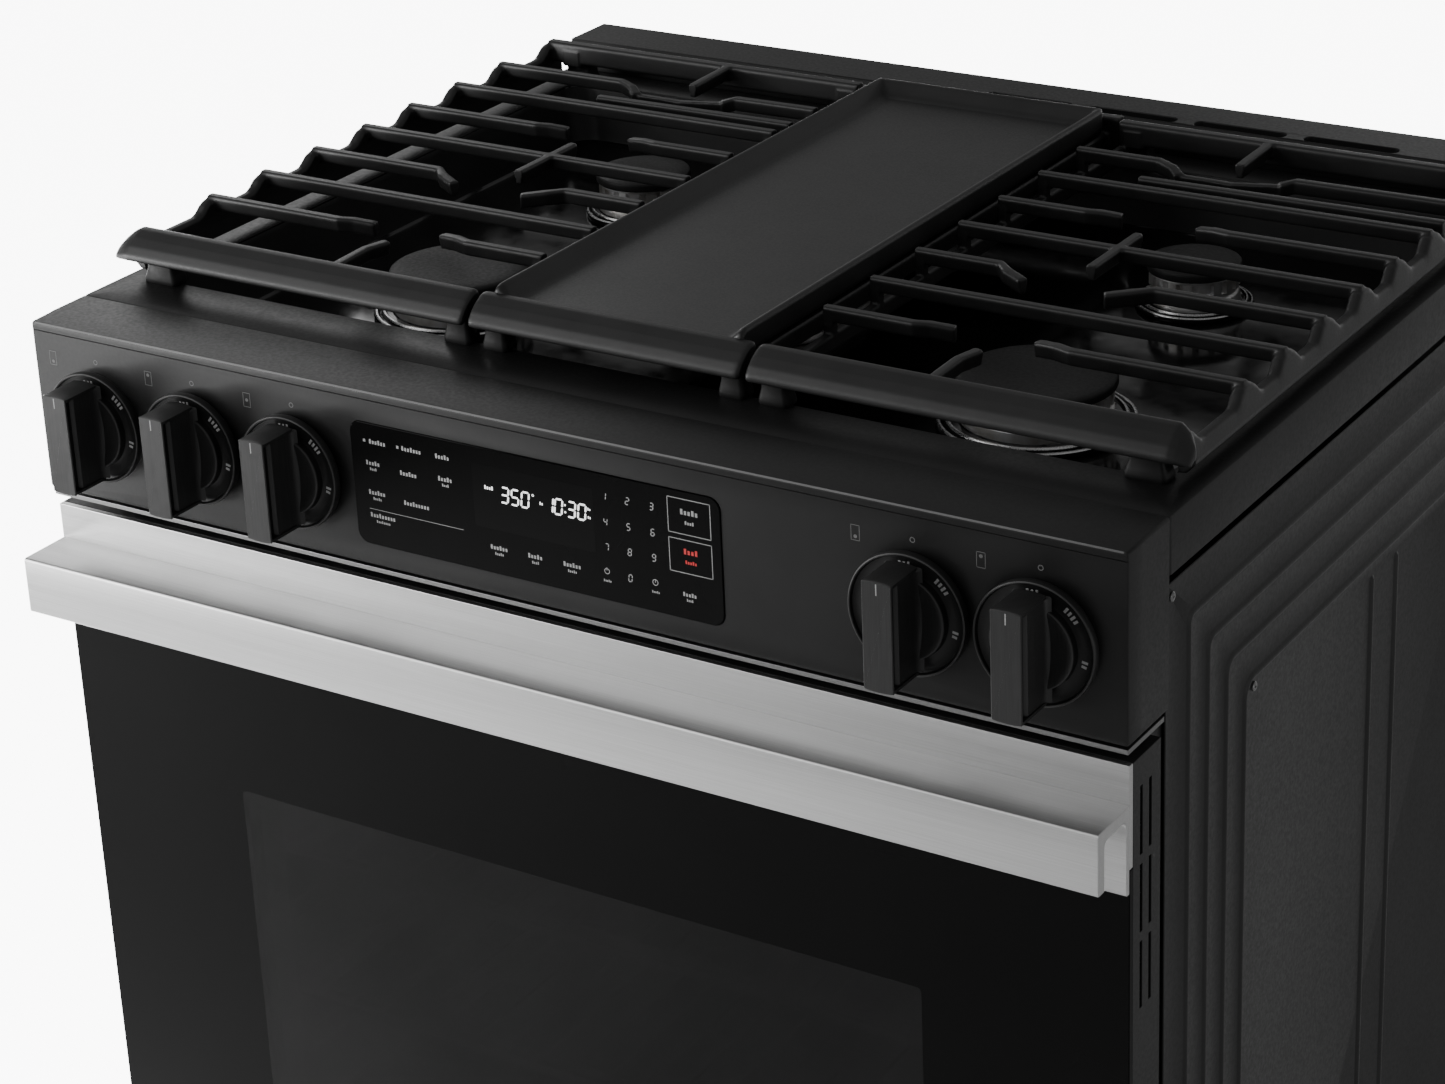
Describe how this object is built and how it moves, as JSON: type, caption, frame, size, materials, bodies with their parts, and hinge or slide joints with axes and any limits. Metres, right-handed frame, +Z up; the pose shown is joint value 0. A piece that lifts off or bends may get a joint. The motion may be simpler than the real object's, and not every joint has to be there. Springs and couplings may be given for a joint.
{
  "type": "slide-in gas range",
  "caption": "Slide-in gas range with cast grates, a griddle, front control panel with push-to-turn knobs, drop-down oven door and storage drawer.",
  "frame": {"origin": "on the floor, under the centre of the bounding box", "axes": "+Z up, the door and control panel face -Y, +X to the right as seen from the front"},
  "size_m": [0.759, 0.69, 0.954],
  "materials": {
    "black_paint": "satin black powder coat",
    "black_enamel": "glossy black porcelain enamel",
    "oven_enamel": "dark blue-black speckled porcelain enamel",
    "stainless": "brushed stainless steel, grain along the width",
    "plain_steel": "galvanised sheet steel",
    "cast_iron": "matte black enamelled cast iron",
    "burner_alloy": "cast and machined aluminium",
    "black_glass": "black tempered glass",
    "clear_glass": "clear heat-resisting glass",
    "knob_finish": "satin black moulding",
    "brass": "machined brass",
    "rack_chrome": "chromed steel wire",
    "wool": "mineral wool",
    "braid": "woven glass-fibre braid",
    "ceramic": "white glazed ceramic",
    "circuit": "green circuit board with components",
    "gland": "black nylon"
  },
  "bodies": {
    "range_body": {"side_panel_left": "black_paint", "side_panel_right": "black_paint", "rear_cover": "plain_steel", "chassis": "black_paint", "levelling_feet": "gland", "body_screws": "plain_steel", "oven_cavity": "oven_enamel", "oven_insulation": "wool", "oven_gasket": "braid", "oven_floor": "oven_enamel", "oven_burners": "plain_steel", "fan_cover": "oven_enamel", "fan_motor": "plain_steel", "oven_lamp": "clear_glass", "flue_duct": "plain_steel", "cooktop_pan": "black_enamel", "back_trim": "black_paint", "burner_bodies": "burner_alloy", "igniters": "ceramic", "control_fascia": "black_paint", "display_glass": "black_glass", "control_board": "circuit", "vent_trim": "stainless", "gas_manifold": "plain_steel", "gas_valves": "brass", "burner_gas_tubes": "burner_alloy", "gas_regulator": "burner_alloy", "supply_pipe": "plain_steel", "power_inlet": "gland"},
    "oven_door": {"door_frame": "black_paint", "door_outer_glass": "black_glass", "door_trim": "stainless", "door_handle": "stainless", "door_liner": "oven_enamel", "door_inner_glass": "clear_glass", "hinge_arms": "plain_steel"},
    "storage_drawer": {"drawer_front": "black_paint", "drawer_box": "plain_steel"},
    "lower_rack": {"oven_rack_lower": "rack_chrome"},
    "upper_rack": {"oven_rack_upper": "rack_chrome"},
    "convection_fan": {"fan_rotor": "plain_steel"},
    "left_grate": {"grate_left": "cast_iron"},
    "right_grate": {"grate_right": "cast_iron"},
    "middle_grate": {"centre_grate": "cast_iron"},
    "griddle_plate": {"griddle": "cast_iron"},
    "cap_front_left": {"burner_cap_front_left": "black_enamel"},
    "cap_rear_left": {"burner_cap_rear_left": "black_enamel"},
    "cap_front_right": {"burner_cap_front_right": "black_enamel"},
    "cap_rear_right": {"burner_cap_rear_right": "black_enamel"},
    "cap_centre": {"burner_cap_centre": "black_enamel"},
    "stem_outer_left": {"valve_stem_outer_left": "brass"},
    "dial_outer_left": {"knob_outer_left": "knob_finish"},
    "stem_middle_left": {"valve_stem_middle_left": "brass"},
    "dial_middle_left": {"knob_middle_left": "knob_finish"},
    "stem_inner_left": {"valve_stem_inner_left": "brass"},
    "dial_inner_left": {"knob_inner_left": "knob_finish"},
    "stem_inner_right": {"valve_stem_inner_right": "brass"},
    "dial_inner_right": {"knob_inner_right": "knob_finish"},
    "stem_outer_right": {"valve_stem_outer_right": "brass"},
    "dial_outer_right": {"knob_outer_right": "knob_finish"}
  },
  "joints": [
    {"name": "door_hinge", "type": "hinge", "parent": "range_body", "child": "oven_door", "pos_m": [0, -0.287, 0.254], "axis": [1, 0, 0], "range_deg": [0, 90], "stiffness_Nm_per_rad": 22, "springref_deg": -20.05},
    {"name": "drawer_slide", "type": "slide", "parent": "range_body", "child": "storage_drawer", "axis": [0, -1, 0], "range_m": [0, 0.4]},
    {"name": "lower_rack_slide", "type": "slide", "parent": "range_body", "child": "lower_rack", "axis": [0, -1, 0], "range_m": [0, 0.028]},
    {"name": "upper_rack_slide", "type": "slide", "parent": "range_body", "child": "upper_rack", "axis": [0, -1, 0], "range_m": [0, 0.028]},
    {"name": "fan_spin", "type": "hinge", "parent": "range_body", "child": "convection_fan", "pos_m": [0, 0.235, 0.49], "axis": [0, -1, 0], "continuous": true},
    {"name": "left_grate_lift", "type": "slide", "parent": "range_body", "child": "left_grate", "axis": [0, 0, 1], "range_m": [0, 0.12]},
    {"name": "right_grate_lift", "type": "slide", "parent": "range_body", "child": "right_grate", "axis": [0, 0, 1], "range_m": [0, 0.12]},
    {"name": "middle_grate_lift", "type": "slide", "parent": "range_body", "child": "middle_grate", "axis": [0, 0, 1], "range_m": [0, 0.12]},
    {"name": "griddle_lift", "type": "slide", "parent": "middle_grate", "child": "griddle_plate", "axis": [0, 0, 1], "range_m": [0, 0.1]},
    {"name": "cap_front_left_lift", "type": "slide", "parent": "range_body", "child": "cap_front_left", "axis": [0, 0, 1], "range_m": [0, 0.012]},
    {"name": "cap_rear_left_lift", "type": "slide", "parent": "range_body", "child": "cap_rear_left", "axis": [0, 0, 1], "range_m": [0, 0.012]},
    {"name": "cap_front_right_lift", "type": "slide", "parent": "range_body", "child": "cap_front_right", "axis": [0, 0, 1], "range_m": [0, 0.012]},
    {"name": "cap_rear_right_lift", "type": "slide", "parent": "range_body", "child": "cap_rear_right", "axis": [0, 0, 1], "range_m": [0, 0.012]},
    {"name": "cap_centre_lift", "type": "slide", "parent": "range_body", "child": "cap_centre", "axis": [0, 0, 1], "range_m": [0, 0.012]},
    {"name": "knob_outer_left_push", "type": "slide", "parent": "range_body", "child": "stem_outer_left", "axis": [0, 1, 0], "range_m": [0, 0.003], "stiffness_N_per_m": 1500, "springref_m": -0.003},
    {"name": "knob_outer_left_turn", "type": "hinge", "parent": "stem_outer_left", "child": "dial_outer_left", "pos_m": [-0.3285, -0.305, 0.854], "axis": [0, -1, 0], "range_deg": [0, 270]},
    {"name": "knob_middle_left_push", "type": "slide", "parent": "range_body", "child": "stem_middle_left", "axis": [0, 1, 0], "range_m": [0, 0.003], "stiffness_N_per_m": 1500, "springref_m": -0.003},
    {"name": "knob_middle_left_turn", "type": "hinge", "parent": "stem_middle_left", "child": "dial_middle_left", "pos_m": [-0.251, -0.305, 0.854], "axis": [0, -1, 0], "range_deg": [0, 270]},
    {"name": "knob_inner_left_push", "type": "slide", "parent": "range_body", "child": "stem_inner_left", "axis": [0, 1, 0], "range_m": [0, 0.003], "stiffness_N_per_m": 1500, "springref_m": -0.003},
    {"name": "knob_inner_left_turn", "type": "hinge", "parent": "stem_inner_left", "child": "dial_inner_left", "pos_m": [-0.1735, -0.305, 0.854], "axis": [0, -1, 0], "range_deg": [0, 270]},
    {"name": "knob_inner_right_push", "type": "slide", "parent": "range_body", "child": "stem_inner_right", "axis": [0, 1, 0], "range_m": [0, 0.003], "stiffness_N_per_m": 1500, "springref_m": -0.003},
    {"name": "knob_inner_right_turn", "type": "hinge", "parent": "stem_inner_right", "child": "dial_inner_right", "pos_m": [0.2515, -0.305, 0.854], "axis": [0, -1, 0], "range_deg": [0, 270]},
    {"name": "knob_outer_right_push", "type": "slide", "parent": "range_body", "child": "stem_outer_right", "axis": [0, 1, 0], "range_m": [0, 0.003], "stiffness_N_per_m": 1500, "springref_m": -0.003},
    {"name": "knob_outer_right_turn", "type": "hinge", "parent": "stem_outer_right", "child": "dial_outer_right", "pos_m": [0.3285, -0.305, 0.854], "axis": [0, -1, 0], "range_deg": [0, 270]}
  ]
}
